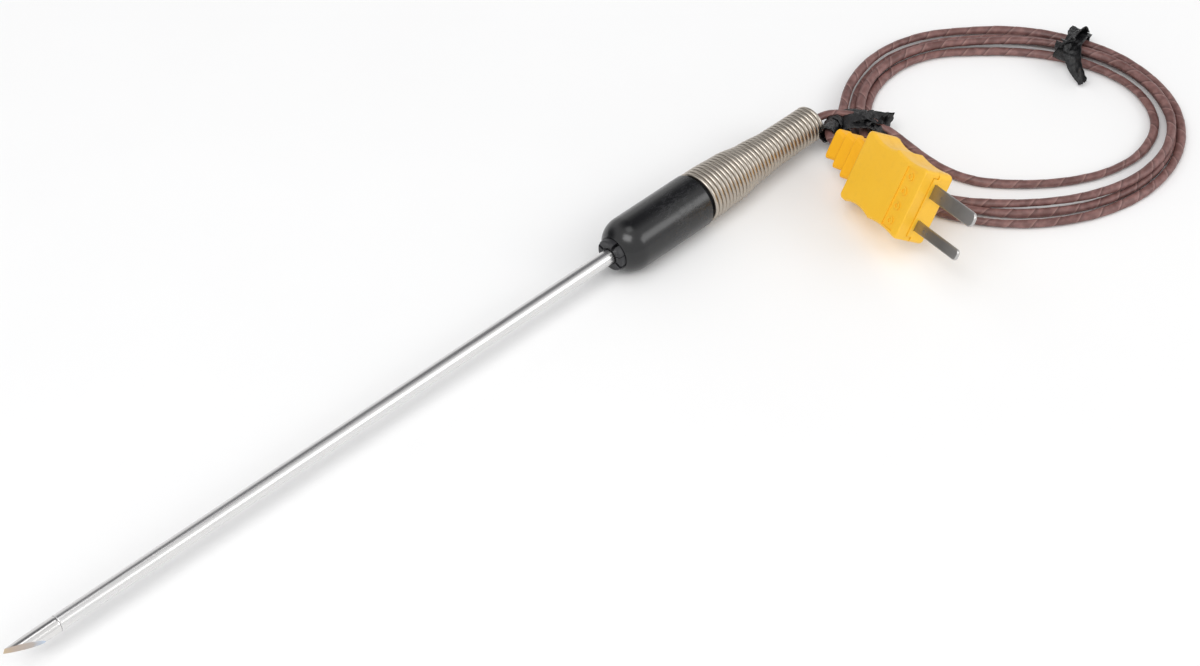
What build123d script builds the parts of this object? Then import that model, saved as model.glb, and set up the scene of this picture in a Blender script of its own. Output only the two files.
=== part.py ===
"""Hand-held needle thermocouple: a bevelled stainless needle in a black moulded pot, a tapered spring
strain relief, a coiled tape-wrapped cable and a two-blade miniature plug. Millimetres, +Z up.

The probe lies along X with its point at -X. The origin is on the resting surface, under the middle of
the probe's length. The cable, its coil and the plug lie at the +X end.
"""
from build123d import *
from math import cos, exp, hypot, pi, radians, sin, tan
import os

os.makedirs("parts", exist_ok=True)

# Needle
NEEDLE_LENGTH = 150.0       # from the point to the nose bush
SHEATH_R = 1.65
SHEATH_BORE_R = 1.25
TIP_PLUG_LENGTH = 10.7      # from the point to the weld seam
SPIGOT_LENGTH = 4.0
BEVEL_ANGLE = 21.5          # of the ground face, to the axis
BACK_BEVEL_DEPTH = 0.5      # taken off behind the point
BACK_BEVEL_LENGTH = 8.7
BEVEL_FACING = (0.0, -0.92, -0.39)
WELD_GROOVE = (0.26, 0.05)  # half width and depth of the groove at the weld seam

# Sensing element inside the needle
BEAD_R = 0.8
CORE_R = 0.25
CORE_OFFSET = 0.6
INSULATOR_R = 1.15

# Pot, its bushes and what the pot holds
POT_R = 6.0
POT_LENGTH = 25.0           # nose bush included
POT_WALL = 1.2
POT_MOUTH_R = 3.5
NOSE_STANDOUT = 1.3
NOSE_LENGTH = 5.5
SHEATH_IN_POT = 9.0
ANCHOR_R = 1.45             # the sheath's end is turned down where the pot holds it
BOSS_STANDOUT = 5.0
BOSS_LENGTH = 11.0

# Strain relief spring
SPRING_LENGTH = 37.0
SPRING_TURNS = 34
SPRING_WIRE_R = 0.52
# outer radius at fractions of the length, from the pot
SPRING_PROFILE = [(0.0, 5.9), (0.1, 5.88), (0.27, 5.6), (0.46, 4.7), (0.65, 4.15), (0.8, 4.08), (1.0, 4.08)]

# Cable and its coil
CABLE_R = 0.95
COIL_CENTRE = (141.5, -27.2)
COIL_LONG_AT = -40.0        # bearing of the turns' long axis
COIL_OUTER = (39.7, 34.6, 0.0, 0.0)     # half length, half width and shift in x and y of the outer edge
COIL_INNER = (31.0, 21.6, 2.4, 1.2)
COIL_HEIGHT = 3.75
INNER_TIE_ANGLE = 138.0     # where the lead and the plug's end are tied to the turns
OUTER_TIE_ANGLE = 14.0
PINCH = 0.6                 # how far the inner tie gathers the turns
PINCH_SPREAD = 30.0

# Plug, in its own frame: x towards the blades, y towards the wide blade, z out of the lid
PLUG_AT = (100.74, -20.34, 9.0)         # middle of the body's rear face
PLUG_FORWARD = (-0.229, -0.960, 0.164)
PLUG_LID_SIDE = (-0.801, 0.281, 0.529)
PLUG_LENGTH = 20.8
PLUG_HALF_WIDTH = 8.0
PLUG_HALF_HEIGHT = 4.0
LID_JOINT_Z = 1.3           # joint face between the blades
LID_JOINT_EDGE_Z = 0.0      # joint face along the two sides
BLADE_Y = 3.96
BLADE_T = 0.8
BLADE_LENGTH = 14.0
BLADE_RIM = 0.2
WIDE_BLADE_W = 3.18
NARROW_BLADE_W = 2.39
TERMINAL_X = 10.9
LID_SCREW_X = 17.5
M2_R = 1.0
RUNNING_GAP = 0.06          # radial, a screw in its hole
BOOT_LENGTH = 10.9
CABLE_END_X = 1.9           # where the cable's jacket is stripped, inside the body

axis_z = POT_R
tip_x = -(NEEDLE_LENGTH + POT_LENGTH + SPRING_LENGTH) / 2
nose_x = tip_x + NEEDLE_LENGTH
pot_front_x = nose_x + NOSE_STANDOUT
pot_rear_x = nose_x + POT_LENGTH
spring_end_x = pot_rear_x + SPRING_LENGTH
weld_x = tip_x + TIP_PLUG_LENGTH
sheath_end_x = nose_x + SHEATH_IN_POT
cavity_x = nose_x + NOSE_LENGTH
boss_x = pot_rear_x + BOSS_STANDOUT - BOSS_LENGTH


def save(shape, node):
    export_step(shape, f"parts/{node}.step")


def rod(radius, start, end, y=0.0):
    """Round bar along the probe's axis, or beside it at y."""
    plane = Plane(origin=(start, y, axis_z), x_dir=(0, 1, 0), z_dir=(1, 0, 0))
    return plane * Cylinder(radius, end - start, align=(Align.CENTER, Align.CENTER, Align.MIN))


def tube(radius, bore, start, end, y=0.0):
    return rod(radius, start, end, y) - rod(bore, start - 1, end + 1, y)


def turned(outline):
    """Solid of revolution about the probe's axis, from (x, radius) corners or edges of such corners."""
    plane = Plane(origin=(0, 0, axis_z), x_dir=(1, 0, 0), z_dir=(0, -1, 0))
    return revolve(plane * outline, Axis((0, 0, axis_z), (1, 0, 0)))


def outside_of(point, normal):
    """Everything beyond a plane through point, within reach of the needle's tip."""
    plane = Plane(origin=point, z_dir=normal)
    return plane * Box(40, 40, 20, align=(Align.CENTER, Align.CENTER, Align.MIN))


# --- Needle tip: a solid plug ground to a point, with a spigot that fits the tube
facing = Vector(*BEVEL_FACING).normalized()
point_at = Vector(tip_x, 0, axis_z) - facing * (SHEATH_R - BACK_BEVEL_DEPTH)
bevel_normal = facing * cos(radians(BEVEL_ANGLE)) - Vector(1, 0, 0) * sin(radians(BEVEL_ANGLE))
back_slope = BACK_BEVEL_DEPTH / BACK_BEVEL_LENGTH
back_normal = (-facing - Vector(1, 0, 0) * back_slope).normalized()


def weld_groove():
    """Shallow groove round the tube at the weld, taken half from the tip and half from the tube."""
    half_width, depth = WELD_GROOVE
    outline = Polyline(
        (weld_x - half_width, SHEATH_R), (weld_x, SHEATH_R - depth), (weld_x + half_width, SHEATH_R),
        (weld_x + half_width, SHEATH_R + 1), (weld_x - half_width, SHEATH_R + 1), close=True)
    return turned(make_face(outline))


tip_body = rod(SHEATH_R, tip_x, weld_x) - weld_groove()
spigot = rod(SHEATH_BORE_R - 0.02, weld_x - 0.5, weld_x + SPIGOT_LENGTH)
bead_x = weld_x + SPIGOT_LENGTH - 1.2
bead_pocket = rod(CORE_OFFSET + CORE_R + 0.08, bead_x - BEAD_R - 0.3, weld_x + SPIGOT_LENGTH + 1)
needle_tip = tip_body + spigot - bead_pocket
needle_tip -= outside_of(point_at, bevel_normal)
needle_tip -= outside_of(point_at, back_normal)
save(needle_tip, "needle_tip")

# --- Needle sheath: drawn stainless tube, welded to the tip, anchored in the pot
sheath = tube(SHEATH_R, SHEATH_BORE_R, weld_x, sheath_end_x)
sheath -= tube(SHEATH_R + 1, ANCHOR_R, nose_x - 0.2, sheath_end_x + 2)
save(sheath - weld_groove(), "needle_sheath")

# --- Sensing element: welded bead, two cores, twin-bore ceramic insulator
bead = Pos(bead_x, 0, axis_z) * Sphere(BEAD_R)
splice_x = {"positive": sheath_end_x + 1.2, "negative": sheath_end_x + 5.0}
side = {"positive": 1, "negative": -1}
SPLICE_LENGTH = 3.0
jacket_x = boss_x + 1.0
for core, sign in side.items():
    y = sign * CORE_OFFSET
    joint_x = splice_x[core] + SPLICE_LENGTH / 2
    wire = rod(CORE_R, bead_x, joint_x, y) - bead
    save(wire, f"core_{core}")
    save(tube(0.52, CORE_R, splice_x[core], splice_x[core] + SPLICE_LENGTH, y), f"splice_sleeve_{core}")
    save(rod(CORE_R, joint_x, jacket_x, y), f"lead_core_{core}")
save(bead, "junction_bead")

insulator = rod(INSULATOR_R, weld_x + SPIGOT_LENGTH + 0.2, sheath_end_x + 0.6)
for sign in side.values():
    insulator -= rod(CORE_R + 0.05, tip_x, sheath_end_x + 2, sign * CORE_OFFSET)
save(insulator, "twin_bore_insulator")

# --- Anchor collar: brass ring crimped on the tube, which the pot holds
collar_x = cavity_x + 0.4
collar = tube(2.9, ANCHOR_R, collar_x, collar_x + 2.4)
collar -= tube(4.0, 2.5, collar_x + 0.8, collar_x + 1.6)
save(collar, "anchor_collar")

# --- Nose bush: slotted black bush, pressed in the pot's mouth round the tube
nose_bush = tube(POT_MOUTH_R, SHEATH_R + 0.03, nose_x, cavity_x)
nose_bush = chamfer(nose_bush.edges().filter_by(GeomType.CIRCLE).group_by(Axis.X)[0], 0.25)
NOSE_SLOTS = [(20, 0.7), (65, 0.16), (110, 0.7), (200, 0.7), (245, 0.16), (290, 0.7)]
for angle, width in NOSE_SLOTS:
    slot = Box(2.4, width, 4.0, align=(Align.MIN, Align.CENTER, Align.MIN))
    nose_bush -= Pos(nose_x - 0.6, 0, axis_z) * Rot(X=angle) * Pos(0, 0, SHEATH_R + 0.35) * slot
save(nose_bush, "nose_bush")

# --- Pot shell: moulded black cup with a domed front
cavity_r = POT_R - POT_WALL
dome_end_x = pot_front_x + 4.9
with BuildLine() as pot_line:
    lip = (pot_front_x + 0.25, POT_MOUTH_R + 0.5)
    Polyline((pot_front_x, POT_MOUTH_R), (pot_front_x, POT_MOUTH_R + 0.25), lip)
    ThreePointArc(lip, (pot_front_x + 1.75, POT_R - 0.75), (dome_end_x, POT_R))
    Polyline((dome_end_x, POT_R), (pot_rear_x - 0.3, POT_R), (pot_rear_x, POT_R - 0.3),
             (pot_rear_x, cavity_r), (cavity_x, cavity_r), (cavity_x, POT_MOUTH_R),
             (pot_front_x, POT_MOUTH_R))
save(turned(make_face(pot_line.line)), "pot_shell")

# --- Spring boss: plug in the pot's rear whose standing-out end carries the spring's first turns
boss_r = cavity_r - 0.05
boss = tube(boss_r, CABLE_R + 0.1, boss_x, pot_rear_x + BOSS_STANDOUT)
boss = chamfer(boss.edges().filter_by(GeomType.CIRCLE).group_by(Axis.X)[-1].sort_by(SortBy.RADIUS)[-1], 0.5)
for groove in range(3):
    x = boss_x + 1.2 + 1.4 * groove
    boss -= tube(boss_r + 1, boss_r - 0.35, x, x + 0.6)
save(boss, "spring_boss")

# --- Potting resin: fills the pot between the two bushes
resin = rod(cavity_r - 0.02, cavity_x, boss_x)
resin -= rod(ANCHOR_R, cavity_x - 1, sheath_end_x)
resin -= rod(3.0, collar_x - 0.1, collar_x + 2.5)
resin -= rod(INSULATOR_R, cavity_x, sheath_end_x + 0.6)
for core, sign in side.items():
    resin -= rod(CORE_R, cavity_x, boss_x + 1, sign * CORE_OFFSET)
    resin -= rod(0.52, splice_x[core], splice_x[core] + SPLICE_LENGTH, sign * CORE_OFFSET)
save(resin, "potting_resin")

# --- Strain relief spring: close-wound, drawn as a sleeve with one rounded rib for each turn
def spring_outer(fraction):
    """Outer radius of the spring at a fraction of its length."""
    for (a, ra), (b, rb) in zip(SPRING_PROFILE, SPRING_PROFILE[1:]):
        if fraction <= b:
            t = (fraction - a) / (b - a)
            return ra + (rb - ra) * t * t * (3 - 2 * t)
    return SPRING_PROFILE[-1][1]


pitch = SPRING_LENGTH / SPRING_TURNS
with BuildLine() as spring_line:
    valley = SPRING_WIRE_R * 0.55
    for turn in range(SPRING_TURNS):
        near, middle, far = (spring_outer((turn + k) / SPRING_TURNS) for k in (0, 0.5, 1))
        x = pot_rear_x + turn * pitch
        ThreePointArc((x, near - valley), (x + pitch / 2, middle), (x + pitch, far - valley))
    inner = [(pot_rear_x + SPRING_LENGTH * f, spring_outer(f) - 2 * SPRING_WIRE_R)
             for f, _ in SPRING_PROFILE]
    inner[0] = (pot_rear_x, boss_r + 0.02)
    Polyline((spring_end_x, spring_outer(1) - valley), *reversed(inner),
             (pot_rear_x, spring_outer(0) - valley))
save(turned(make_face(spring_line.line)), "strain_relief_spring")

# --- Cable inside the spring, from the pot to the spring's open end
save(rod(CABLE_R, jacket_x, spring_end_x), "cable_in_spring")


# --- Free cable: the lead from the spring to the coil, the coil, and the tail from the coil to the plug
def cable_tube(points, name):
    """Round tube along straight runs joined by the largest tangent arcs that the runs allow."""
    corners = [Vector(*p) for p in points]
    radii = []
    for before, here, after in zip(corners, corners[1:], corners[2:]):
        turn = (here - before).get_angle(after - here)
        shorter = min((here - before).length, (after - here).length)
        radii.append(0.45 * shorter / tan(radians(turn / 2)))
    path = FilletPolyline(*points, radius=radii)
    section = Plane(origin=path @ 0, z_dir=path % 0) * Circle(CABLE_R)
    swept = sweep(section, path=path)
    expected = pi * CABLE_R**2 * path.length
    print(name, "radii", [round(r, 1) for r in radii], "length", round(path.length, 1),
          "volume", round(swept.volume, 1), "of", round(expected, 1))
    return swept


LEAD_ROUTE = [
    (spring_end_x, 0, axis_z), (109.3, 0, axis_z), (112.7, -1.9, 5.7), (115.6, -5.0, 5.1),
    (117.8, -9.3, 3.9), (118.8, -14.2, 2.5), (119.0, -19.4, 1.4), (118.9, -24.8, 0.97), (119.4, -30.0, 0.95),
    (121.3, -35.0, 0.97),
]
save(cable_tube(LEAD_ROUTE, "lead"), "cable_lead")

plug_forward = Vector(*PLUG_FORWARD).normalized()
boot_end = Vector(*PLUG_AT) - plug_forward * BOOT_LENGTH
TAIL_ROUTE = [
    (117.4, 0.9, 2.6), (115.3, -0.8, 2.65), (112.6, -2.45, 3.45), (108.75, -3.3, 5.1), (106.65, -4.4, 5.8),
    (104.95, -6.1, 6.4), (104.15, -7.2, 6.7), tuple(boot_end - plug_forward * 1.42), tuple(boot_end),
]
save(cable_tube(TAIL_ROUTE, "tail"), "cable_tail")


def coil_edge(angle, half_length, half_width, shift_x, shift_y, pinch):
    """Point of the coil's inner or outer edge, in plan: an ellipse, drawn out at the inner tie."""
    bearing = radians(angle)
    along = radians(angle - COIL_LONG_AT)
    reach = half_length * half_width / hypot(half_width * cos(along), half_length * sin(along))
    reach += shift_x * cos(bearing) + shift_y * sin(bearing)
    reach += pinch * exp(-((angle - INNER_TIE_ANGLE) / PINCH_SPREAD) ** 2)
    return (COIL_CENTRE[0] + reach * cos(bearing), COIL_CENTRE[1] + reach * sin(bearing))


edge_angles = [INNER_TIE_ANGLE - 180 + 15 * k for k in range(24)]
outer_edge = Spline(*[coil_edge(a, *COIL_OUTER, 0) for a in edge_angles], periodic=True)
inner_edge = Spline(*[coil_edge(a, *COIL_INNER, PINCH) for a in edge_angles], periodic=True)
coil = extrude(make_face(outer_edge), COIL_HEIGHT)
coil = fillet(coil.edges(), 1.2)
coil -= Pos(0, 0, -1) * extrude(make_face(inner_edge), COIL_HEIGHT + 2)
save(coil, "cable_coil")


# --- Ties: plastic-covered wire ties, each a band round the turns with two twisted ends
def tie(angle, middle_r, width, height, end_route, node):
    """Flat band round the turns at a bearing from the coil's centre, and the twisted ends."""
    here = Pos(*COIL_CENTRE, 0) * Rot(Z=angle) * Pos(middle_r, 0, 0)
    outer = Box(width + 1.0, 4.4, height, align=(Align.CENTER, Align.CENTER, Align.MIN))
    outer = fillet(outer.edges().filter_by(Axis.Y), 1.0)
    hollow = Pos(0, 0, 0.45) * Box(width, 6, height - 0.95, align=(Align.CENTER, Align.CENTER, Align.MIN))
    ends = FilletPolyline(*end_route, radius=1.2)
    twist = sweep(Plane(origin=ends @ 0, z_dir=ends % 0) * Circle(0.9), path=ends)
    save(here * (outer - hollow + twist), node)


tie(INNER_TIE_ANGLE, 34.7, 7.0, 6.5, [(-2.4, 0, 6.2), (-5.0, 1.0, 5.4), (-8.8, 3.0, 3.8)], "inner_tie")
tie(OUTER_TIE_ANGLE, 31.6, 8.6, 4.6, [(-2.0, 0, 4.4), (-5.6, -2.0, 4.4), (-10.2, -6.6, 1.5)], "outer_tie")

# --- Plug
plug_frame = Plane(origin=PLUG_AT, x_dir=PLUG_FORWARD, z_dir=PLUG_LID_SIDE)


def save_plug(shape, node):
    save(plug_frame * shape, node)


def block(x0, x1, y0, y1, z0, z1):
    return Pos(x0, y0, z0) * Box(x1 - x0, y1 - y0, z1 - z0, align=(Align.MIN, Align.MIN, Align.MIN))


def post(radius, x, y, z0, z1):
    return Pos(x, y, z0) * Cylinder(radius, z1 - z0, align=(Align.CENTER, Align.CENTER, Align.MIN))


def plug_outline():
    """Body's outline from above, with two thumb scallops in each side."""
    half = PLUG_HALF_WIDTH
    with BuildLine() as line:
        Polyline((0, 0), (0, half), (2.0, half))
        ThreePointArc((2.0, half), (6.1, half - 0.8), (10.2, half))
        ThreePointArc((10.2, half), (14.6, half - 0.45), (19.0, half))
        Polyline((19.0, half), (PLUG_LENGTH, half), (PLUG_LENGTH, 0))
        mirror(line.line, Plane.XZ)
    face = make_face(line.line)
    corners = [v for v in face.vertices() if v.X < 0.1 or v.X > PLUG_LENGTH - 0.1]
    return fillet([v for v in corners if abs(v.Y) > 1], 1.1)


def solid_body():
    body = Pos(0, 0, -PLUG_HALF_HEIGHT) * extrude(plug_outline(), 2 * PLUG_HALF_HEIGHT)
    rims = body.edges().group_by(Axis.Z)
    return fillet(rims[0] + rims[-1], 0.7)


body = solid_body()
LID_STEP_Y = 6.7
LID_GAP = 0.08
LID_SETBACK = 0.3


def lid_space(gap):
    """Space above the stepped joint face, drawn back by gap."""
    space = block(-1, PLUG_LENGTH + 1, -9, 9, LID_JOINT_EDGE_Z + gap, 5)
    step_y = LID_STEP_Y + gap
    return space - block(-2, PLUG_LENGTH + 2, -step_y, step_y, -1, LID_JOINT_Z + gap)


blades = {"wide": (BLADE_Y, WIDE_BLADE_W), "narrow": (-BLADE_Y, NARROW_BLADE_W)}
PAD_W = 5.0
PAD_X = (8.3, 13.5)
BLADE_BOTTOM = -BLADE_T / 2
BLADE_TOP = BLADE_T / 2
WASHER_Z = (0.92, 1.25)
SCREW_HEAD_TOP = 2.15
LID_CEILING = 3.15
SCREW_TIP = -2.6
INSERT_Z = (1.3, 3.3)
COUNTERBORE_Z = -2.0
WIRING_X = (1.4, 14.1)       # hollow for the cores and terminals

base = body - lid_space(0)
# wiring space behind and beside the terminals, open to the lid
base -= block(*WIRING_X, -6.6, 6.6, BLADE_BOTTOM, 2)
for y, width in blades.values():
    base -= block(WIRING_X[1] - 0.8, PLUG_LENGTH + 1, y - width / 2, y + width / 2, BLADE_BOTTOM, BLADE_TOP)
    base -= post(M2_R + 0.3, TERMINAL_X, y, SCREW_TIP - 0.4, 0)
base -= block(-1, 2, -2.6, 2.6, -1.7, 2)
base -= post(M2_R + RUNNING_GAP, LID_SCREW_X, 0, -5, 2)
base -= post(2.05, LID_SCREW_X, 0, -5, COUNTERBORE_Z)
save_plug(base, "plug_base")

lid = (body & lid_space(LID_GAP)) - block(*WIRING_X, -6.6, 6.6, 0, LID_CEILING)
lid -= block(-1, 2, -2.6, 2.6, 0, 1.7)
# lid's front face stands back from the base's, which leaves a ledge along the joint
lid -= block(PLUG_LENGTH - LID_SETBACK, PLUG_LENGTH + 1, -9, 9, -1, 5)
lid -= post(1.62, LID_SCREW_X, 0, 0, INSERT_Z[1] + 0.05)
# sunk panel with plain raised beads
PANEL_X = (15.0, 18.5)
PANEL_Y = (-7.0, 6.5)
PANEL_DEPTH = 0.3
BEAD_COUNT = 4
lid -= block(*PANEL_X, *PANEL_Y, PLUG_HALF_HEIGHT - PANEL_DEPTH, 5)
for bead_number in range(BEAD_COUNT):
    y = PANEL_Y[0] + (bead_number + 0.5) * (PANEL_Y[1] - PANEL_Y[0]) / BEAD_COUNT
    ring = post(0.85, sum(PANEL_X) / 2, y, 3.6, 3.95) - post(0.5, sum(PANEL_X) / 2, y, 3.7, 5)
    lid += ring
save_plug(lid, "plug_lid")

save_plug(post(1.6, LID_SCREW_X, 0, *INSERT_Z) - post(M2_R + RUNNING_GAP, LID_SCREW_X, 0, 1, 4), "lid_insert")


def screw(x, y, head_r, head_z, shank_end):
    """Pan head screw with a cross slot; the head runs from head_z[0], at the shank, to head_z[1]."""
    low, high = sorted(head_z)
    head = post(head_r, x, y, low, high)
    top = head.edges().group_by(Axis.Z)[-1 if head_z[1] > head_z[0] else 0]
    head = fillet(top, 0.3)
    depth = 0.5 if head_z[1] > head_z[0] else -0.5
    slots = [block(x - 1.1, x + 1.1, y - 0.22, y + 0.22, *sorted((head_z[1] - depth, head_z[1] + depth))),
             block(x - 0.22, x + 0.22, y - 1.1, y + 1.1, *sorted((head_z[1] - depth, head_z[1] + depth)))]
    shank = post(M2_R, x, y, *sorted((head_z[0], shank_end)))
    return head + shank - slots[0] - slots[1]


SEAT_GAP = 0.01             # between a screw's head and its washer
LID_WASHER_Z = (-2.3, COUNTERBORE_Z)
save_plug(post(1.9, LID_SCREW_X, 0, *LID_WASHER_Z) - post(M2_R + RUNNING_GAP, LID_SCREW_X, 0, -3, -1),
          "lid_screw_washer")
save_plug(screw(LID_SCREW_X, 0, 1.8, (LID_WASHER_Z[0] - SEAT_GAP, -3.4), 3.0), "lid_screw")

for name, (y, width) in blades.items():
    blade = block(PAD_X[1] - 1, PLUG_LENGTH + BLADE_LENGTH, y - width / 2, y + width / 2,
                  BLADE_BOTTOM, BLADE_TOP)
    nose = blade.edges().filter_by(Axis.Z).group_by(Axis.X)[-1]
    blade = fillet(nose, width / 2 - 0.35)
    rims = [e for e in blade.edges()
            if abs(e.center().Z) > BLADE_T / 2 - 0.01 and e.center().X > PAD_X[1]]
    blade = chamfer(rims, BLADE_RIM)
    pad_y = y if name == "wide" else -y
    blade += block(*PAD_X, y - PAD_W / 2, y + PAD_W / 2, BLADE_BOTTOM, BLADE_TOP)
    blade -= post(M2_R + RUNNING_GAP, TERMINAL_X, y, -1, 1)
    dimples = [0.0] if name == "wide" else [-0.55, 0.55]
    for offset in dimples:
        blade -= post(0.3, PLUG_LENGTH + 3.4 + offset, y, BLADE_TOP - 0.15, 1)
    save_plug(blade, f"blade_{name}")
    washer = post(2.1, TERMINAL_X, y, *WASHER_Z) - post(M2_R + RUNNING_GAP, TERMINAL_X, y, 0, 2)
    save_plug(washer, f"clamp_washer_{name}")
    save_plug(screw(TERMINAL_X, y, 1.75, (WASHER_Z[1] + SEAT_GAP, SCREW_HEAD_TOP), SCREW_TIP),
              f"terminal_screw_{name}")
    # bare core from the cable's end, bent round beside the screw under its washer
    sign = 1 if y > 0 else -1
    core_z = BLADE_TOP + CORE_R + 0.01
    core = FilletPolyline((CABLE_END_X, sign * 0.45, core_z), (4.6, sign * 0.9, core_z),
                          (6.2, y - sign * 1.35, core_z), (TERMINAL_X + 1.2, y - sign * 1.38, core_z),
                          radius=0.8)
    section = Plane(origin=core @ 0, z_dir=core % 0) * Circle(CORE_R)
    save_plug(sweep(section, path=core), f"plug_core_{name}")

# --- Boot: ribbed rubber sleeve whose flange is held between base and lid
boot = block(0.35, 1.35, -2.55, 2.55, -1.65, 1.65)
RIB_LENGTH = 3.55
RIB_DRAFT = 0.62            # how much narrower and thinner a rib is at its end nearer the body
RIBS = [(-0.1, 4.85, 3.0), (-3.65, 4.2, 2.65), (-7.2, 3.5, 2.3)]
for start, half_w, half_h in RIBS:
    ends = []
    for x, draft in ((start, RIB_DRAFT), (start - RIB_LENGTH + 0.3, 0), (start - RIB_LENGTH, 0.22)):
        section_plane = Plane(origin=(x, 0, 0), x_dir=(0, 1, 0), z_dir=(1, 0, 0))
        ends.append(section_plane * RectangleRounded(2 * (half_w - draft), 2 * (half_h - draft), 0.9))
    boot += loft(ends[:2], ruled=True) + loft(ends[1:], ruled=True)
boot += block(-BOOT_LENGTH, 0.4, -2.5, 2.5, -1.6, 1.6)
boot -= Plane(origin=(-BOOT_LENGTH - 1, 0, 0), x_dir=(0, 1, 0), z_dir=(1, 0, 0)) * Cylinder(
    CABLE_R + 0.02, BOOT_LENGTH + 4, align=(Align.CENTER, Align.CENTER, Align.MIN))
save_plug(boot, "plug_boot")
cable_end = Plane(origin=(-BOOT_LENGTH, 0, 0), x_dir=(0, 1, 0), z_dir=(1, 0, 0)) * Cylinder(
    CABLE_R, BOOT_LENGTH + CABLE_END_X, align=(Align.CENTER, Align.CENTER, Align.MIN))
save_plug(cable_end, "cable_in_boot")
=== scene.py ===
from math import cos, hypot, pi, radians, sin

import bmesh
import bpy
from mathutils import Matrix, Vector, noise


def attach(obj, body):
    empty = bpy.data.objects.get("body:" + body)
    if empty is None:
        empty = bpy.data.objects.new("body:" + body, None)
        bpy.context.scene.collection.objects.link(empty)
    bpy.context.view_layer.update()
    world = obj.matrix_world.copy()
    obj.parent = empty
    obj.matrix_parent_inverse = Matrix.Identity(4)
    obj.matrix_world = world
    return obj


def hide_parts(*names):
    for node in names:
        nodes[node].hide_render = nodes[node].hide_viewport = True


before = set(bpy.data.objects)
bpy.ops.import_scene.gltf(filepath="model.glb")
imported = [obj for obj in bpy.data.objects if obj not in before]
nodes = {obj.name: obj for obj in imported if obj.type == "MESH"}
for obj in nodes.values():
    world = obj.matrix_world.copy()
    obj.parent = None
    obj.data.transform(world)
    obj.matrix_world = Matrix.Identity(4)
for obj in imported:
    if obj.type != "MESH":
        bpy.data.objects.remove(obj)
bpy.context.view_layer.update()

MM = 0.001

# ---------------------------------------------------------------------------------------------------
# The table it is looked at on: a plain pale sweep under a bright surround, with three soft boxes. Two
# dark patches of the surround are mirrored by the metal: the one overhead puts the dark band along the
# needle, and the one beside darkens the blades. The camera looks down along the probe.
TO_OVERHEAD_PATCH = Vector((0.40, 0.39, 0.83))
TO_SIDE_PATCH = Vector((-0.525, 0.85, 0.084))


class Socket:
    """An output of a node, so that shader sums can be written as sums."""

    def __init__(self, tree, output):
        self.tree = tree
        self.output = output

    def math(self, operation, *others):
        node = self.tree.nodes.new("ShaderNodeMath")
        node.operation = operation
        for place, value in enumerate((self, *others)):
            feed(self.tree, node.inputs[place], value)
        return Socket(self.tree, node.outputs[0])

    def __add__(self, other):
        return self.math("ADD", other)

    __radd__ = __add__

    def __sub__(self, other):
        return self.math("SUBTRACT", other)

    def __rsub__(self, other):
        return (self * -1.0) + other

    def __mul__(self, other):
        return self.math("MULTIPLY", other)

    __rmul__ = __mul__

    def __truediv__(self, other):
        return self.math("DIVIDE", other)

    def clamped(self):
        return self.math("MAXIMUM", 0.0).math("MINIMUM", 1.0)

    def band(self, low, high):
        """0 below low, 1 above high, and a straight ramp between them."""
        return ((self - low) / (high - low)).clamped()


def feed(tree, place, value):
    if isinstance(value, Socket):
        tree.links.new(value.output, place)
    elif isinstance(value, (tuple, list)) and len(value) == 3 and len(place.default_value) == 4:
        place.default_value = (*value, 1.0)
    else:
        place.default_value = value


class Graph:
    """The node tree of a material or of the world."""

    def __init__(self, owner):
        owner.use_nodes = True
        self.tree = owner.node_tree
        self.tree.nodes.clear()

    def node(self, kind, settings=None, inputs=None, output=0):
        """Any node: its settings first, then the values or links of its sockets; gives one output."""
        node = self.tree.nodes.new("ShaderNode" + kind)
        for name, value in (settings or {}).items():
            if name == "stops":
                ramp = node.color_ramp.elements
                while len(ramp) < len(value):
                    ramp.new(0.5)
                for stop, (place, colour) in zip(ramp, value):
                    stop.position = place
                    stop.color = (*colour, 1.0)
            else:
                setattr(node, name, value)
        for name, value in (inputs or {}).items():
            feed(self.tree, node.inputs[name], value)
        return Socket(self.tree, node.outputs[output]) if len(node.outputs) else node

    def mix(self, factor, first, second):
        settings = {"data_type": "RGBA", "clamp_factor": True}
        return self.node("Mix", settings, {"Factor": factor, 6: first, 7: second}, 2)

    def ramp(self, value, stops):
        return self.node("ValToRGB", {"stops": stops}, {"Fac": value})

    def place(self, scale=(1.0, 1.0, 1.0)):
        """Place on the piece, in millimetres, stretched by scale."""
        here = self.node("TexCoord", output=3)
        stretch = tuple(1000.0 * s for s in scale)
        return self.node("VectorMath", {"operation": "MULTIPLY"}, {0: here, 1: stretch})

    def along(self, vector, direction):
        inputs = {0: vector, 1: direction}
        return self.node("VectorMath", {"operation": "DOT_PRODUCT"}, inputs, "Value")

    def cloud(self, where, scale, detail=3.0, rough=0.5):
        inputs = {"Vector": where, "Scale": scale, "Detail": detail, "Roughness": rough}
        return self.node("TexNoise", {}, inputs)


floor_mesh = bpy.data.meshes.new("floor")
reach = 3.0
corners = [(-reach, -reach, 0), (reach, -reach, 0), (reach, reach, 0), (-reach, reach, 0)]
floor_mesh.from_pydata(corners, [], [(0, 1, 2, 3)])
floor = bpy.data.objects.new("floor", floor_mesh)
bpy.context.scene.collection.objects.link(floor)
floor_look = bpy.data.materials.new("pale_sweep")
graph = Graph(floor_look)
paper = graph.cloud(graph.place(), 0.02)
shade = graph.mix(paper, (0.90, 0.90, 0.90), (0.93, 0.93, 0.93))
surface = graph.node("BsdfPrincipled", {}, {"Base Color": shade, "Roughness": 0.85})
graph.node("OutputMaterial", {}, {"Surface": surface})
floor_mesh.materials.append(floor_look)

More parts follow.
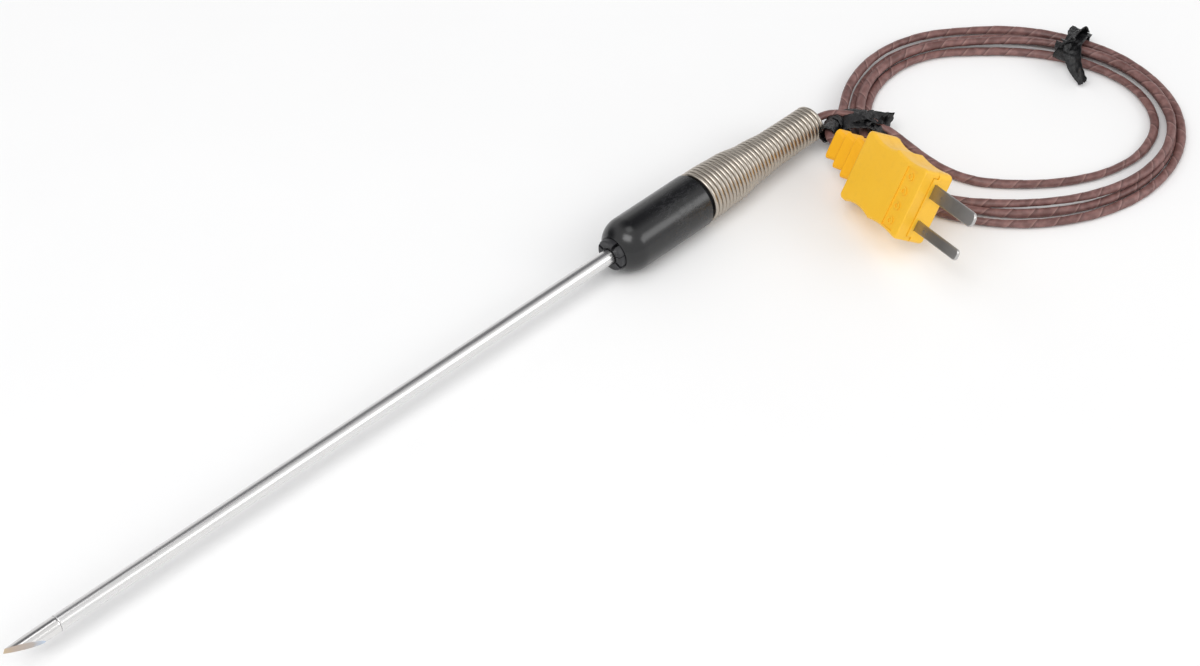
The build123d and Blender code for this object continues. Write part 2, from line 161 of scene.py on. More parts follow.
world = bpy.data.worlds.new("studio")
bpy.context.scene.world = world
graph = Graph(world)
looking = graph.node("TexCoord", output=0)
overhead = graph.along(looking, TO_OVERHEAD_PATCH.normalized()).band(0.78, 0.97)
beside = graph.along(looking, TO_SIDE_PATCH.normalized()).band(0.84, 0.96)
dark = (overhead + beside).clamped()
light = graph.mix(dark, (1.0, 1.0, 1.0), (0.15, 0.15, 0.16))
sky = graph.node("Background", {}, {"Color": light, "Strength": 0.88})
graph.node("OutputWorld", {}, {"Surface": sky})


def soft_box(name, place, aim, size, power):
    lamp = bpy.data.lights.new(name, "AREA")
    lamp.shape = "RECTANGLE"
    lamp.size, lamp.size_y = size
    lamp.energy = power
    box = bpy.data.objects.new(name, lamp)
    box.location = place
    box.rotation_euler = (Vector(aim) - Vector(place)).to_track_quat("-Z", "Y").to_euler()
    bpy.context.scene.collection.objects.link(box)


middle = (0.03, -0.01, 0.0)
soft_box("key", (-0.55, -0.25, 1.0), middle, (0.7, 0.5), 4.3)
soft_box("fill", (0.75, -0.95, 0.7), middle, (0.8, 0.5), 3.0)
soft_box("top", (0.1, 0.15, 1.3), middle, (0.5, 0.5), 1.1)

camera_lens = bpy.data.cameras.new("camera")
camera_lens.lens = 78.0
camera_lens.sensor_width = 36.0
camera_lens.clip_start = 0.01
camera = bpy.data.objects.new("camera", camera_lens)
camera.location = (-0.2328, -0.2809, 0.3713)
aim = Vector((0.0282, -0.0134, 0.004))
camera.rotation_euler = (aim - camera.location).to_track_quat("-Z", "Y").to_euler()
bpy.context.scene.collection.objects.link(camera)
bpy.context.scene.camera = camera
bpy.context.scene.view_settings.view_transform = "Standard"

# ---------------------------------------------------------------------------------------------------
# Free cable: two insulated cores laid side by side and lapped with a varnished brown tape, so that it
# has a flat-ish section and a step at each lap. It leaves the spring, is wound in four loose turns and
# comes back over the inner tie into the plug's boot.
SPRING_MOUTH = (106.0, 0.0, 6.0)
LEAD = [
    SPRING_MOUTH, (109.3, 0, 6.0), (112.7, -1.9, 5.7), (115.6, -5.0, 5.1), (117.8, -9.3, 3.9),
    (118.8, -14.2, 2.5), (119.0, -19.4, 1.4), (118.9, -24.8, 0.97), (119.4, -30.0, 0.95),
    (121.3, -35.0, 0.97),
]
TAIL = [
    (117.4, 0.9, 2.6), (115.3, -0.8, 2.65), (112.6, -2.45, 3.45), (108.75, -3.3, 5.1), (106.65, -4.4, 5.8),
    (104.95, -6.1, 6.4), (104.15, -7.2, 6.7), (103.56, -8.5, 6.98), (103.24, -9.88, 7.21),
]
CABLE_R = 0.95
COIL_CENTRE = Vector((141.5, -27.2, 0.0))
TIE_BEARING = 136.0         # where the turns are drawn together, seen from the coil's centre
POINTS_PER_TURN = 18
# for each turn, the innermost first: half length, half width, shift in x and y, bearing of its long
# axis, lift off the table, and where it ends at the tie: reach from the centre and height
TURNS = [
    (32.2, 23.0, 2.4, 1.3, -41, 0.0, 32.2, 0.95),
    (34.9, 28.0, 0.8, -0.9, -43, 1.75, 33.7, 2.7),
    (36.1, 30.2, 0.5, -0.1, -41, 0.0, 35.2, 0.95),
    (38.6, 33.5, 0.1, 0.2, -39, 0.0, 36.9, 2.7),
]
LEAD_JOINS_AT = 4


def turn_point(number, step):
    """A point of one loose turn: on its ellipse where it lies free, drawn in or out near the tie."""
    length, width, shift_x, shift_y, long_at, lift, tied_reach, tied_height = TURNS[number]
    before = TURNS[number - 1] if number else TURNS[0]
    share = step / POINTS_PER_TURN
    bearing = TIE_BEARING + 360.0 * share
    angle, heading = radians(bearing - long_at), radians(bearing)
    free_reach = length * width / hypot(width * cos(angle), length * sin(angle))
    free_reach += shift_x * cos(heading) + shift_y * sin(heading)
    loose_share = max(share, 0.5) if number == 0 else share
    free = min(1.0, 2.2 * sin(pi * loose_share) ** 2)
    held_reach = before[6] + (tied_reach - before[6]) * share
    at_tie = max(0.0, 1.0 - min(1.0, 2.6 * sin(pi * share) ** 2))
    held_height = before[7] if share < 0.5 else tied_height
    free_height = CABLE_R + lift * min(1.0, 1.6 * sin(pi * share) ** 2)
    reach = held_reach * (1.0 - free) + free_reach * free
    height = free_height * (1.0 - at_tie) + held_height * at_tie
    return COIL_CENTRE + Vector((reach * cos(heading), reach * sin(heading), height))


route = [Vector(p) for p in LEAD]
for number in range(len(TURNS)):
    first = LEAD_JOINS_AT if number == 0 else 0
    route += [turn_point(number, step) for step in range(first, POINTS_PER_TURN)]
route += [Vector(p) for p in TAIL]

route_curve = bpy.data.curves.new("cable_route", "CURVE")
route_curve.dimensions = "3D"
route_curve.resolution_u = 12
spline = route_curve.splines.new("NURBS")
spline.points.add(len(route) - 1)
for point, place in zip(spline.points, route):
    point.co = (*(place * MM), 1.0)
spline.order_u = 3
spline.use_endpoint_u = True
route_object = bpy.data.objects.new("cable_route", route_curve)
line_mesh = bpy.data.meshes.new_from_object(route_object)
line = [v.co.copy() for v in line_mesh.vertices]
bpy.data.objects.remove(route_object)
bpy.data.meshes.remove(line_mesh)


def even_points(points, spacing):
    """Points along the same line, spacing apart, with the distance of each from the start."""
    out, travelled, wanted = [(points[0], 0.0)], 0.0, spacing
    for here, there in zip(points, points[1:]):
        length = (there - here).length
        while length and wanted <= travelled + length:
            out.append((here.lerp(there, (wanted - travelled) / length), wanted))
            wanted += spacing
        travelled += length
    out.append((points[-1], travelled))
    return out


def new_piece(name, mesh, body):
    piece = bpy.data.objects.new(name, mesh)
    bpy.context.scene.collection.objects.link(piece)
    for face in mesh.polygons:
        face.use_smooth = True
    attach(piece, body)
    return piece


LAP = 5.0                   # advance of the tape for one turn round the cable
TAPE_STEP = 0.075           # height of the step at the tape's edge
SECTION_R = 0.93            # before it is widened and flattened
WIDENED, FLATTENED = 1.09, 0.88
SIDES = 24
RING_SPACING = 0.42
rings = even_points(line, RING_SPACING * MM)
vertices, faces, wrap = [], [], []
for index, (centre, distance) in enumerate(rings):
    before, after = rings[max(index - 1, 0)][0], rings[min(index + 1, len(rings) - 1)][0]
    forward = (after - before).normalized()
    across = forward.cross(Vector((0, 0, 1))).normalized()
    upward = across.cross(forward)
    along_mm = distance / MM
    lay = radians(28.0) * sin(along_mm / 9.0) + radians(16.0) * sin(along_mm / 3.7)
    swell = 1.0 + 0.035 * noise.noise(Vector((along_mm / 6.0, 3.7, 0.0)))
    ring_wrap = []
    for side in range(SIDES + 1):
        turned = 2.0 * pi * side / SIDES
        phase = along_mm / LAP - side / SIDES
        ring_wrap.append((phase, along_mm))
        if side == SIDES:
            continue
        lapped = phase % 1.0
        edge = TAPE_STEP * (lapped * 0.75 + 0.25 * min(1.0, lapped * 9.0) - 0.55)
        flat = turned - lay
        radius = SECTION_R * swell / hypot(cos(flat) / WIDENED, sin(flat) / FLATTENED) + edge
        radius += 0.022 * noise.noise(Vector((along_mm / 1.3, 5.0 * cos(turned), 5.0 * sin(turned))))
        vertices.append(centre + (across * cos(turned) + upward * sin(turned)) * radius * MM)
    wrap.append(ring_wrap)
corner_values = []
for index in range(len(rings) - 1):
    for side in range(SIDES):
        following = (side + 1) % SIDES
        low, high = index * SIDES, (index + 1) * SIDES
        faces.append((low + side, low + following, high + following, high + side))
        corner_values += [wrap[index][side], wrap[index][side + 1],
                          wrap[index + 1][side + 1], wrap[index + 1][side]]
faces.append(tuple(reversed(range(SIDES))))
last = (len(rings) - 1) * SIDES
faces.append(tuple(range(last, last + SIDES)))
corner_values += [(0.0, 0.0)] * (2 * SIDES)
for vertex in vertices:
    vertex.z = max(vertex.z, 0.02 * MM)
cable_mesh = bpy.data.meshes.new("cable")
cable_mesh.from_pydata(vertices, [], faces)
lap_map = cable_mesh.uv_layers.new(name="lap")
lap_map.data.foreach_set("uv", [value for pair in corner_values for value in pair])
cable = new_piece("cable", cable_mesh, "probe")
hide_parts("cable_lead", "cable_coil", "cable_tail")


def look(name, build, **constants):
    """A material: build(graph) gives what varies over the surface, constants are plain values."""
    made = bpy.data.materials.new(name)
    graph = Graph(made)
    inputs = build(graph)
    bumps = inputs.pop("bumps", [])
    normal = None
    for height, distance, strength in bumps:
        values = {"Height": height, "Distance": distance * MM, "Strength": strength}
        if normal is not None:
            values["Normal"] = normal
        normal = graph.node("Bump", {}, values)
    if normal is not None:
        inputs["Normal"] = normal
    surface = graph.node("BsdfPrincipled", {}, {**constants, **inputs})
    graph.node("OutputMaterial", {}, {"Surface": surface})
    return made


def tape_surface(graph, lap):
    """Brown tape under varnish, darkened in the crease past each lap's step as painted shade and lightened
    along its raised edge as a painted highlight; lap counts its turns, and is a whole number at each edge.
    """
    where = graph.place()
    fraction = lap.math("FRACT")
    turn = graph.node("TexWhiteNoise", {"noise_dimensions": "1D"}, {"W": lap.math("FLOOR")})
    blotch = graph.cloud(where, 0.55, 4.0)
    fibre = graph.cloud(graph.place((1.0, 1.0, 1.6)), 5.5, 2.0)
    # edge marks the crease just past each lap's step; the colour is darkened there as painted shade
    edge = 1.0 - fraction.band(0.02, 0.16)
    dark = graph.mix(turn * 0.8, (0.118, 0.050, 0.044), (0.172, 0.080, 0.071))
    worn = graph.mix(blotch.band(0.42, 0.70) * 0.7, dark, (0.290, 0.150, 0.138))
    crease_shaded = graph.mix(edge * 0.60, worn, (0.055, 0.022, 0.020))
    # painted highlight: the raised edge of each lap is lightened towards pale pink
    lit = fraction.band(0.86, 1.0)
    colour = graph.mix(lit * 0.5, crease_shaded, (0.40, 0.24, 0.22))
    rough = 0.34 + 0.22 * blotch + 0.10 * edge
    return {"Base Color": colour, "Roughness": rough.clamped(),
            "bumps": [(fibre, 0.05, 0.35), (blotch, 0.10, 0.25)]}


def lapped_tape(graph):
    marks = graph.node("UVMap", {"uv_map": "lap"})
    return tape_surface(graph, graph.node("SeparateXYZ", {}, {"Vector": marks}))


def plain_tape(graph):
    """The same tape where the cable runs out of sight, lapped by distance alone."""
    return tape_surface(graph, graph.along(graph.place(), (1.0 / LAP, 0.3 / LAP, 0.1 / LAP)))


cable_mesh.materials.append(look("cable_tape", lapped_tape, **{"Specular IOR Level": 0.55}))


def finish_node(look_made, *names):
    for name in names:
        mesh = nodes[name].data
        mesh.materials.clear()
        mesh.materials.append(look_made)


finish_node(look("cable_tape_hidden", plain_tape), "cable_in_spring", "cable_in_boot")

# ---------------------------------------------------------------------------------------------------
# Needle: drawn stainless tube, polished lengthways, with a solid tip welded in, ground to a point on
# one side and relieved behind it. Grinding left a light heat tint on the face.
POINT_X = -106.0
WELD_X = -95.3
SEAM_R = 1.585              # of the line that the fused bead follows
SEAM_HALF_WIDTH = 0.060


def polished_steel(graph):
    streaks = graph.cloud(graph.place((0.02, 1.0, 1.0)), 3.2, 3.0)
    haze = graph.cloud(graph.place((0.12, 1.0, 1.0)), 0.9, 3.0)
    colour = graph.mix(haze, (0.80, 0.79, 0.78), (0.70, 0.70, 0.70))
    rough = 0.19 + 0.10 * streaks + 0.07 * haze
    return {"Base Color": colour, "Roughness": rough.clamped(), "bumps": [(streaks, 0.006, 0.12)]}


def ground_steel(graph):
    """Polished round, and on the flat face fine grinding lines and straw, brown and blue tints."""
    where = graph.place()
    facing = graph.node("TexCoord", output=1)
    on_face = graph.along(facing, (-0.367, -0.857, -0.363)).band(0.955, 0.985)
    from_point = graph.along(where, (1.0, 0.0, 0.0)) - POINT_X
    cloudy = graph.cloud(where, 0.7, 2.0)
    tint = graph.ramp(((from_point + 2.2 * cloudy) / 11.0).clamped(), [
        (0.05, (0.62, 0.47, 0.26)), (0.25, (0.50, 0.40, 0.33)), (0.55, (0.50, 0.44, 0.40)),
        (0.72, (0.55, 0.66, 0.80)), (0.95, (0.62, 0.61, 0.60))])
    lines = graph.cloud(graph.place((1.0, 0.06, 0.06)), 9.0, 2.0)
    streaks = graph.cloud(graph.place((0.02, 1.0, 1.0)), 3.2, 3.0)
    colour = graph.mix(on_face, (0.76, 0.75, 0.74), tint)
    rough = 0.15 + 0.08 * streaks + on_face * (0.12 + 0.12 * lines)
    return {"Base Color": colour, "Roughness": rough.clamped(),
            "bumps": [(lines * on_face, 0.012, 0.4), (streaks, 0.010, 0.2)]}


finish_node(look("needle_steel", polished_steel, Metallic=1.0), "needle_sheath")
finish_node(look("ground_steel", ground_steel, Metallic=1.0), "needle_tip")


def weld_seam():
    """Thin fused bead in the groove where the tube meets its tip, a little uneven round the needle."""
    mesh = bpy.data.meshes.new("weld_seam")
    seam = bmesh.new()
    around, section = 72, 8
    grid = []
    for step in range(around):
        angle = 2.0 * pi * step / around
        ripple = noise.noise(Vector((3.0 * cos(angle), 3.0 * sin(angle), 8.0)))
        spine = SEAM_R + 0.010 * ripple
        width = SEAM_HALF_WIDTH + 0.012 * sin(9.0 * angle) + 0.012 * ripple
        ring = []
        for part in range(section):
            turned = 2.0 * pi * part / section
            reach = spine + width * sin(turned)
            place = Vector((WELD_X + width * cos(turned), reach * cos(angle), 6.0 + reach * sin(angle)))
            ring.append(seam.verts.new(place * MM))
        grid.append(ring)
    for step in range(around):
        ring, following = grid[step], grid[(step + 1) % around]
        for part in range(section):
            other = (part + 1) % section
            seam.faces.new((ring[part], following[part], following[other], ring[other]))
    bmesh.ops.recalc_face_normals(seam, faces=seam.faces)
    seam.to_mesh(mesh)
    seam.free()
    return mesh


def fused_steel(graph):
    cloudy = graph.cloud(graph.place(), 2.5, 2.0)
    colour = graph.mix(cloudy, (0.36, 0.32, 0.28), (0.24, 0.25, 0.29))
    return {"Base Color": colour, "Roughness": 0.30 + 0.2 * cloudy, "bumps": [(cloudy, 0.02, 0.4)]}


seam_mesh = weld_seam()
seam_mesh.materials.append(look("fused_steel", fused_steel, Metallic=1.0))
new_piece("weld_seam", seam_mesh, "probe")

# ---------------------------------------------------------------------------------------------------
# Sensing element: two nickel-alloy cores in a twin-bore ceramic, welded in a bead at the tip, with a
# brass splice on each core inside the pot. All of it is out of sight and held by the resin.


def drawn_alloy(graph):
    marks = graph.cloud(graph.place((0.05, 1.0, 1.0)), 6.0, 2.0)
    colour = graph.mix(marks, (0.58, 0.56, 0.50), (0.46, 0.43, 0.38))
    return {"Base Color": colour, "Roughness": 0.28 + 0.15 * marks, "bumps": [(marks, 0.01, 0.3)]}


def fired_ceramic(graph):
    grain = graph.cloud(graph.place(), 6.0, 4.0)
    colour = graph.mix(grain, (0.86, 0.84, 0.78), (0.78, 0.75, 0.68))
    return {"Base Color": colour, "Roughness": 0.62 + 0.2 * grain, "bumps": [(grain, 0.02, 0.4)]}


def turned_brass(graph):
    rings = graph.cloud(graph.place((1.0, 0.03, 0.03)), 7.0, 2.0)
    colour = graph.mix(rings, (0.80, 0.60, 0.28), (0.66, 0.47, 0.20))
    return {"Base Color": colour, "Roughness": 0.25 + 0.2 * rings, "bumps": [(rings, 0.02, 0.4)]}


def cured_resin(graph):
    swirl = graph.cloud(graph.place(), 0.6, 3.0)
    colour = graph.mix(swirl, (0.055, 0.040, 0.030), (0.095, 0.072, 0.050))
    return {"Base Color": colour, "Roughness": 0.30 + 0.2 * swirl, "bumps": [(swirl, 0.05, 0.2)]}


alloy = look("drawn_alloy", drawn_alloy, Metallic=1.0)
brass = look("turned_brass", turned_brass, Metallic=1.0)
finish_node(alloy, "junction_bead", "core_positive", "core_negative", "lead_core_positive",
            "lead_core_negative", "plug_core_wide", "plug_core_narrow")
finish_node(look("fired_ceramic", fired_ceramic), "twin_bore_insulator")
finish_node(brass, "splice_sleeve_positive", "splice_sleeve_negative", "anchor_collar", "lid_insert")
finish_node(look("cured_resin", cured_resin), "potting_resin")

# ---------------------------------------------------------------------------------------------------
# Pot: glossy black moulding with a domed front, scuffed where it is held, a slotted bush pressed in
# its mouth and a plug in its rear that carries the spring's first turns.


def black_moulding(graph):
    where = graph.place()
    scuffs = graph.cloud(graph.place((0.5, 1.0, 1.0)), 1.6, 5.0, 0.65)
    patch = graph.cloud(where, 0.16, 2.0)
    held = graph.along(where, (1.0, 0.0, 0.0)).band(53.0, 57.0)
    rubbed = (scuffs.band(0.46, 0.60) * patch.band(0.40, 0.62) * held).clamped()
    pits = graph.cloud(where, 9.0, 2.0)
    specks = graph.cloud(where, 2.8, 1.0).band(0.76, 0.80)
    colour = graph.mix(rubbed * 0.35, (0.0045, 0.0047, 0.0055), (0.024, 0.024, 0.028))
    rough = 0.20 + 0.05 * pits + 0.14 * rubbed + 0.12 * specks
    return {"Base Color": colour, "Roughness": rough.clamped(),
            "bumps": [(pits, 0.012, 0.18), (scuffs * rubbed, 0.04, 0.25), (specks, 0.04, 0.5)]}


def black_bush(graph):
    grain = graph.cloud(graph.place(), 5.0, 3.0)
    colour = graph.mix(grain, (0.012, 0.012, 0.014), (0.030, 0.030, 0.033))
    return {"Base Color": colour, "Roughness": 0.36 + 0.2 * grain, "bumps": [(grain, 0.02, 0.3)]}


finish_node(look("black_mould", black_moulding, **{"Specular IOR Level": 0.6}), "pot_shell")
bush = look("black_bush", black_bush)
finish_node(bush, "nose_bush", "spring_boss")

# ---------------------------------------------------------------------------------------------------
# Strain relief spring: close-wound nickel-plated wire, full width on the boss and drawn in to a neck
# that lets the cable out. Its first end is cut off square at the pot's rim.
SPRING_START = 69.0
SPRING_LENGTH = 37.0
SPRING_TURNS = 34
WIRE_R = 0.52
AXIS_Z = 6.0
# outer radius at fractions of the length, from the pot
SPRING_PROFILE = [(0.0, 5.9), (0.1, 5.88), (0.27, 5.6), (0.46, 4.7), (0.65, 4.15), (0.8, 4.08), (1.0, 4.08)]
CUT_END_AT = radians(-118.0)


def spring_outer(fraction):
    for (a, ra), (b, rb) in zip(SPRING_PROFILE, SPRING_PROFILE[1:]):
        if fraction <= b:
            t = max(0.0, (fraction - a) / (b - a))
            return ra + (rb - ra) * t * t * (3 - 2 * t)
    return SPRING_PROFILE[-1][1]


wound = SPRING_LENGTH - 2.0 * WIRE_R
pitch = SPRING_LENGTH / SPRING_TURNS
turn_steps, wire_sides = 64, 14
steps = int(wound / pitch * turn_steps)
spring_vertices, spring_faces = [], []
for step in range(steps + 1):
    angle = CUT_END_AT + 2.0 * pi * step / turn_steps
    along = SPRING_START + WIRE_R + pitch * step / turn_steps
    reach = spring_outer((along - SPRING_START) / SPRING_LENGTH) - WIRE_R
    uneven = 0.018 * noise.noise(Vector((step / turn_steps * 1.7, 1.0, 4.0)))
    outward = Vector((0, cos(angle), sin(angle)))
    for side in range(wire_sides):
        turned = 2.0 * pi * side / wire_sides
        place = Vector((along + uneven + WIRE_R * sin(turned), 0, AXIS_Z))
        place += outward * (reach + WIRE_R * cos(turned))
        spring_vertices.append(place * MM)
for step in range(steps):
    for side in range(wire_sides):
        following = (side + 1) % wire_sides
        low, high = step * wire_sides, (step + 1) * wire_sides
        spring_faces.append((low + side, high + side, high + following, low + following))
spring_faces.append(tuple(range(wire_sides)))
spring_faces.append(tuple(reversed(range(steps * wire_sides, (steps + 1) * wire_sides))))
spring_mesh = bpy.data.meshes.new("spring")
spring_mesh.from_pydata(spring_vertices, [], spring_faces)


def spring_wire(graph):
    drawn = graph.cloud(graph.place((1.0, 0.12, 0.12)), 4.0, 3.0)
    haze = graph.cloud(graph.place(), 0.25, 2.0)
    colour = graph.mix(haze, (0.50, 0.45, 0.385), (0.43, 0.39, 0.345))
    rough = 0.20 + 0.12 * drawn + 0.08 * haze
    return {"Base Color": colour, "Roughness": rough.clamped(), "bumps": [(drawn, 0.010, 0.3)]}


spring_mesh.materials.append(look("spring_wire", spring_wire, Metallic=1.0))
spring = new_piece("spring", spring_mesh, "probe")
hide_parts("strain_relief_spring")

# ---------------------------------------------------------------------------------------------------
# Ties: strips of glossy black film, wrapped round the turns, twisted and pinched into a knot, with a
# crumpled end left standing. One holds the lead and the plug's end, one holds the far side.
FILM = 0.16                 # thickness


def rounded_line(points, per_run):
    """Smooth line through the points."""
    out = []
    padded = [2 * points[0] - points[1], *points, 2 * points[-1] - points[-2]]
    for a, b, c, d in zip(padded, padded[1:], padded[2:], padded[3:]):
        for k in range(per_run):
            t = k / per_run
            out.append(0.5 * (2 * b + (c - a) * t + (2 * a - 5 * b + 4 * c - d) * t * t
                              + (3 * b - a - 3 * c + d) * t * t * t))
    return [*out, points[-1]]


def film_strip(strip, points, widths, across, twist, crumple, curl, seed):
    """Adds one crumpled strip of film, a closed shell, along points; its width starts out across."""
    line = rounded_line([Vector(p) for p in points], 12)
    columns = 12
    grid = []
    for index, centre in enumerate(line):
        share = index / (len(line) - 1)
        forward = (line[min(index + 1, len(line) - 1)] - line[max(index - 1, 0)]).normalized()
        side = (Vector(across) - forward * forward.dot(Vector(across))).normalized()
        side = Matrix.Rotation(radians(twist) * share, 3, forward) @ side
        outward = side.cross(forward)
        spot = share * (len(widths) - 1)
        left = min(int(spot), len(widths) - 2)
        width = widths[left] + (widths[left + 1] - widths[left]) * (spot - left)
        row = []
        for column in range(columns + 1):
            over = column / columns - 0.5
            ragged = 0.0
            if index > len(line) - 4:
                ragged = 0.35 * noise.noise(Vector((over * 9.0, seed, 2.0)))
            place = centre + side * over * width + forward * ragged
            fold = noise.noise(place / 0.9 + Vector((seed, 0, 0)))
            crease = abs(noise.noise(place / 1.7 + Vector((0, seed, 0))))
            place += outward * (curl * 4.0 * over * over + crumple * (0.8 * fold + 1.3 * crease - 0.4))
            place.z = max(place.z, 0.30)
            under = place - outward * FILM
            under.z = max(under.z, 0.05)
            row.append((strip.verts.new(place * MM), strip.verts.new(under * MM)))
        grid.append(row)
    for row, following in zip(grid, grid[1:]):
        for column in range(columns):
            near, far = (row[column], row[column + 1]), (following[column + 1], following[column])
            strip.faces.new([pair[0] for pair in (*near, *far)])
            strip.faces.new([pair[1] for pair in reversed((*near, *far))])
    rim = [*grid[0], *[row[-1] for row in grid[1:]], *reversed(grid[-1][:-1]),
           *[row[0] for row in reversed(grid[1:-1])]]
    for here, there in zip(rim, [*rim[1:], rim[0]]):
        strip.faces.new((here[0], here[1], there[1], there[0]))


def tie_frame(bearing, reach):
    """Turns places beside a tie (out from the coil's centre, round it, up) into places in the row."""
    heading = radians(bearing)
    out = Vector((cos(heading), sin(heading), 0))
    round_ = Vector((-sin(heading), cos(heading), 0))
    origin = COIL_CENTRE + out * reach

    def at(x, y, z):
        return origin + out * x + round_ * y + Vector((0, 0, z))
    return at, round_


def tie_mesh(name, strips):
    made = bmesh.new()
    for values in strips:
        film_strip(made, *values)
    bmesh.ops.recalc_face_normals(made, faces=made.faces)
    mesh = bpy.data.meshes.new(name)
    made.to_mesh(mesh)
    made.free()
    return mesh


def black_film(graph):
    where = graph.place()
    wrinkle = graph.cloud(where, 2.6, 4.0, 0.6)
    fine = graph.cloud(where, 9.0, 2.0)
    worn = wrinkle.band(0.55, 0.75)
    colour = graph.mix(worn * 0.6, (0.005, 0.005, 0.006), (0.030, 0.029, 0.028))
    rough = 0.15 + 0.14 * wrinkle + 0.06 * fine
    return {"Base Color": colour, "Roughness": rough.clamped(),
            "bumps": [(wrinkle, 0.24, 0.75), (fine, 0.03, 0.4)]}


film_look = look("tie_plastic", black_film, **{"Specular IOR Level": 0.45})


def band_path(at, half, low, high, turns, start):
    """Round the bundle in its own cross-section, a flattened loop."""
    points = []
    count = int(16 * turns)
    for step in range(count + 1):
        angle = start + 2.0 * pi * step / 16
        x = half * abs(cos(angle)) ** 0.7 * (1 if cos(angle) > 0 else -1)
        z = abs(sin(angle)) ** 0.75 * (1 if sin(angle) > 0 else -1)
        points.append(at(x, 0.35 * sin(2.3 * angle), (low + high) / 2 + z * (high - low) / 2))
    return points


def loop_path(centre, forward, radius, turns):
    """Round one run of cable."""
    side = Vector(forward).cross(Vector((0, 0, 1))).normalized()
    upward = side.cross(Vector(forward).normalized())
    steps = int(12 * turns)
    return [centre + (side * cos(2 * pi * k / 12) + upward * sin(2 * pi * k / 12)) * radius
            for k in range(steps + 1)]


at, round_ = tie_frame(143.0, 34.9)
inner_strips = [
    (band_path(at, 4.2, 0.35, 6.0, 1.2, 2.2), [6.2, 6.8, 5.8, 6.4, 6.2], round_, 0, 0.30, 0.0, 3.1),
    ([at(0.5, -0.6, 5.9), at(-2.2, 0.1, 6.4), at(-4.0, -0.4, 5.2), at(-5.6, 0.4, 4.4), at(-7.4, 1.2, 3.9)],
     [3.4, 2.6, 4.4, 6.2, 6.8], round_, 30, 0.50, 0.5, 5.3),
    ([at(-1.0, 1.4, 5.6), at(-3.4, 0.6, 6.1), at(-5.0, -0.8, 4.7), at(-7.0, -1.6, 4.9)],
     [2.6, 2.2, 3.6, 4.4], round_, -70, 0.52, -0.4, 7.7),
    (loop_path(Vector((107.3, -4.1, 5.6)), Vector((-0.84, -0.46, 0.28)), 1.75, 1.15), [6.4, 7.4, 6.8],
     (-0.84, -0.46, 0.28), 0, 0.28, 0.0, 9.9),
    (loop_path(Vector((111.3, -2.9, 4.1)), Vector((-0.89, -0.25, 0.38)), 1.9, 1.1), [4.6, 5.4, 4.8],
     (-0.89, -0.25, 0.38), 0, 0.30, 0.0, 12.4),
]
inner_mesh = tie_mesh("inner_tie_film", inner_strips)
inner_mesh.materials.append(film_look)
inner_tie = new_piece("inner_tie_film", inner_mesh, "probe")
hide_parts("inner_tie")

at, round_ = tie_frame(12.0, 31.0)
outer_strips = [
    (band_path(at, 5.3, 0.35, 4.4, 1.15, 0.4), [4.6, 4.0, 4.6, 4.0, 4.6], round_, 0, 0.26, 0.0, 1.9),
    ([at(4.8, 0.6, 3.6), at(2.4, 0.5, 4.9), at(-0.4, -0.2, 5.2), at(-3.2, -0.6, 5.2), at(-5.4, -1.2, 4.2)],
     [4.2, 4.8, 2.4, 3.4, 2.8], round_, 150, 0.50, 0.4, 4.4),
    ([at(-1.2, 1.6, 4.3), at(-3.0, -0.6, 5.6), at(-4.8, 1.0, 4.8), at(-2.6, 2.0, 4.2)],
     [2.6, 2.2, 2.8, 2.4], round_, 200, 0.42, 0.0, 8.8),
    ([at(-3.0, -0.8, 5.0), at(-5.4, -2.4, 4.4), at(-7.4, -4.6, 3.0), at(-9.2, -7.6, 1.5)],
     [4.2, 4.2, 3.6, 2.7], round_, 35, 0.40, 0.9, 6.1),
]
outer_mesh = tie_mesh("outer_tie_film", outer_strips)
outer_mesh.materials.append(film_look)
outer_tie = new_piece("outer_tie_film", outer_mesh, "probe")
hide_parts("outer_tie")

# ---------------------------------------------------------------------------------------------------
# Plug: two yellow nylon mouldings held by one screw from below, two flat blades of unlike width with
# clamp screws, and a softer ribbed boot whose flange is trapped between the mouldings.


def yellow_nylon(graph):
    where = graph.place()
    flow = graph.cloud(where, 0.14, 3.0)
    grain = graph.cloud(where, 11.0, 2.0)
    handled = graph.cloud(where, 0.9, 4.0).band(0.52, 0.72)
    colour = graph.mix(flow, (0.92, 0.53, 0.036), (0.88, 0.48, 0.024))
    soiled = graph.mix(handled * 0.10, colour, (0.62, 0.33, 0.05))
    rough = 0.36 + 0.06 * grain + 0.08 * handled
    return {"Base Color": soiled, "Roughness": rough.clamped(),
            "bumps": [(grain, 0.010, 0.25), (flow, 0.05, 0.1)]}


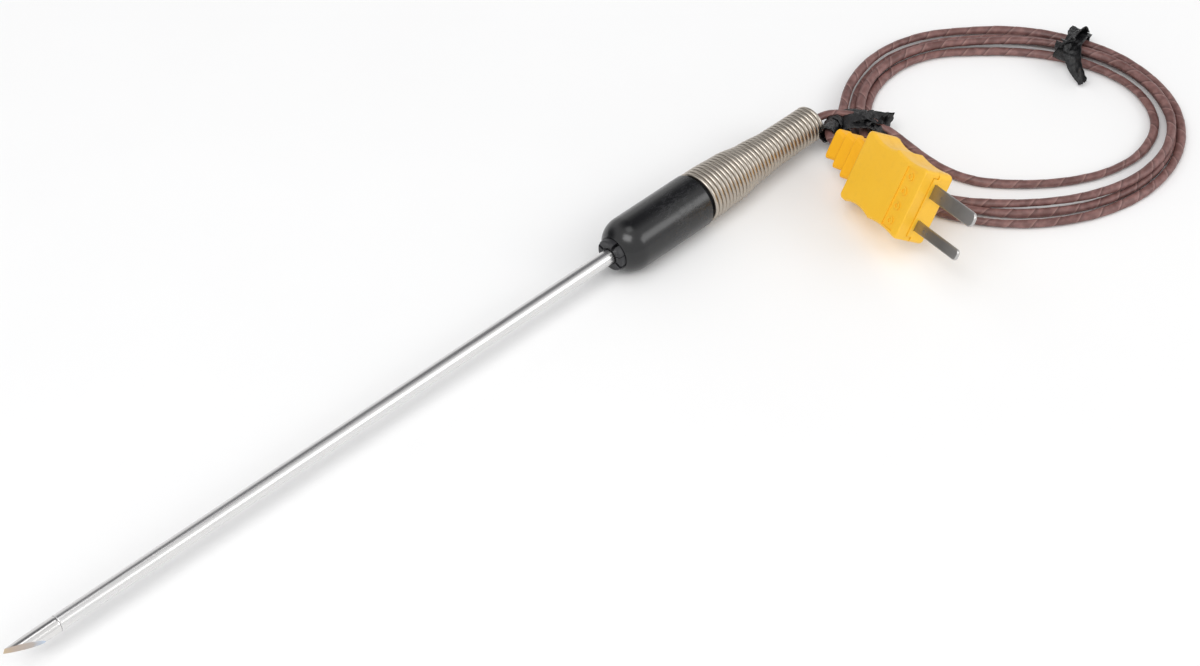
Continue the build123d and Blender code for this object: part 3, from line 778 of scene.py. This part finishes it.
def boot_rubber(graph):
    where = graph.place()
    bloom = graph.cloud(where, 0.5, 4.0)
    grain = graph.cloud(where, 8.0, 2.0)
    colour = graph.mix(bloom, (0.93, 0.46, 0.006), (0.88, 0.42, 0.006))
    rough = 0.42 + 0.10 * grain + 0.06 * bloom
    return {"Base Color": colour, "Roughness": rough.clamped(), "bumps": [(grain, 0.02, 0.3)]}


BLADE_RUN = Vector((-0.229, -0.960, 0.164)).normalized()
PLUG_REAR = Vector((100.74, -20.34, 9.0))
PLUG_LENGTH = 20.8


def blade_strip(graph):
    """Blanked and tumbled alloy strip: brushed along its length and rubbed brighter at the tip."""
    where = graph.place()
    out_of_body = graph.along(where, BLADE_RUN) - (BLADE_RUN.dot(PLUG_REAR) + PLUG_LENGTH)
    brushed = graph.cloud(graph.place((1.0, 0.10, 1.0)), 5.0, 3.0)
    stain = graph.cloud(where, 0.8, 3.0)
    plain = graph.mix(stain, (0.40, 0.385, 0.37), (0.31, 0.30, 0.29))
    colour = graph.mix(out_of_body.band(9.0, 14.0) * 0.5, plain, (0.68, 0.67, 0.66))
    rough = 0.27 + 0.14 * brushed + 0.08 * stain
    return {"Base Color": colour, "Roughness": rough.clamped(), "bumps": [(brushed, 0.012, 0.3)]}


def plated_screw(graph):
    turned = graph.cloud(graph.place(), 4.0, 3.0)
    colour = graph.mix(turned, (0.72, 0.71, 0.68), (0.58, 0.57, 0.54))
    return {"Base Color": colour, "Roughness": 0.20 + 0.2 * turned, "bumps": [(turned, 0.015, 0.3)]}


finish_node(look("plug_yellow", yellow_nylon, **{"Specular IOR Level": 0.45}), "plug_base", "plug_lid")
finish_node(look("boot_rubber", boot_rubber, **{"Specular IOR Level": 0.40}), "plug_boot")
finish_node(look("blade_metal", blade_strip, Metallic=1.0), "blade_wide", "blade_narrow")
plated = look("screw_plate", plated_screw, Metallic=1.0)
finish_node(plated, "clamp_washer_wide", "clamp_washer_narrow", "terminal_screw_wide",
            "terminal_screw_narrow", "lid_screw", "lid_screw_washer")

[tuple(place) for place, _ in rings]
